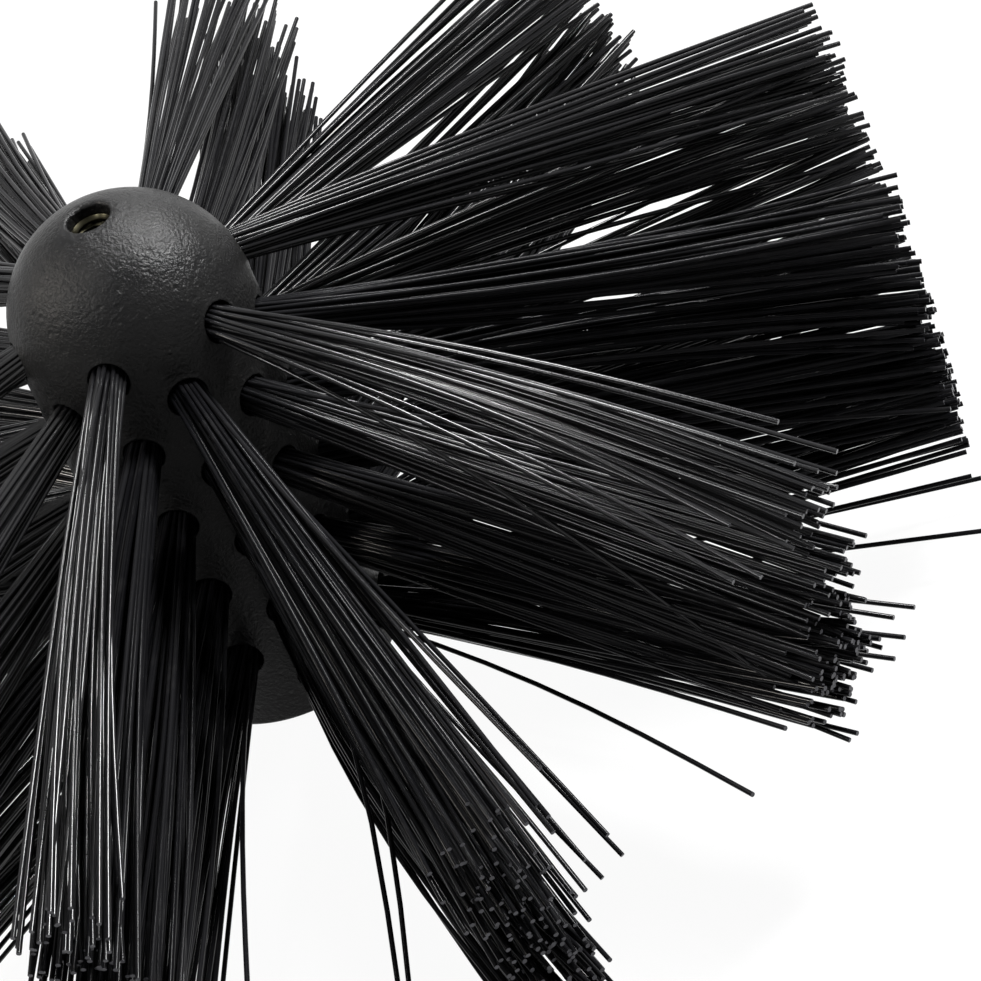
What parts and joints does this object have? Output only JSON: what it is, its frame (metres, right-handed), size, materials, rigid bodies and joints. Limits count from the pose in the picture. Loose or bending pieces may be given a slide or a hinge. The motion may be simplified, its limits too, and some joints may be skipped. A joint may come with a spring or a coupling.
{
  "type": "chimney sweep brush",
  "caption": "Chimney sweep brush: a ball-nosed moulded hub with quincunx rows of stiff plastic tufts, a threaded brass rod socket in its tail and a threaded brass socket in its nose.",
  "frame": {"origin": "on the hub's axis, on the underside of the ferrule's flange, where the collar of a sweep's rod seats", "axes": "+Z along the hub's axis from the rod end to the ball nose; +X through the first tuft below the nose"},
  "size_m": [0.305, 0.305, 0.1205],
  "materials": {
    "hub": "satin black moulded plastic with a fine orange peel",
    "bristles": "black extruded filament with a soft sheen",
    "brass": "turned and slightly dulled"
  },
  "bodies": {
    "root": {"hub_nose": "hub", "tuft_ring_1": "bristles", "tuft_ring_2": "bristles", "tuft_ring_3": "bristles", "tuft_ring_4": "bristles", "hub_tail": "hub", "rod_ferrule": "brass", "nose_bush": "brass"}
  },
  "joints": []
}
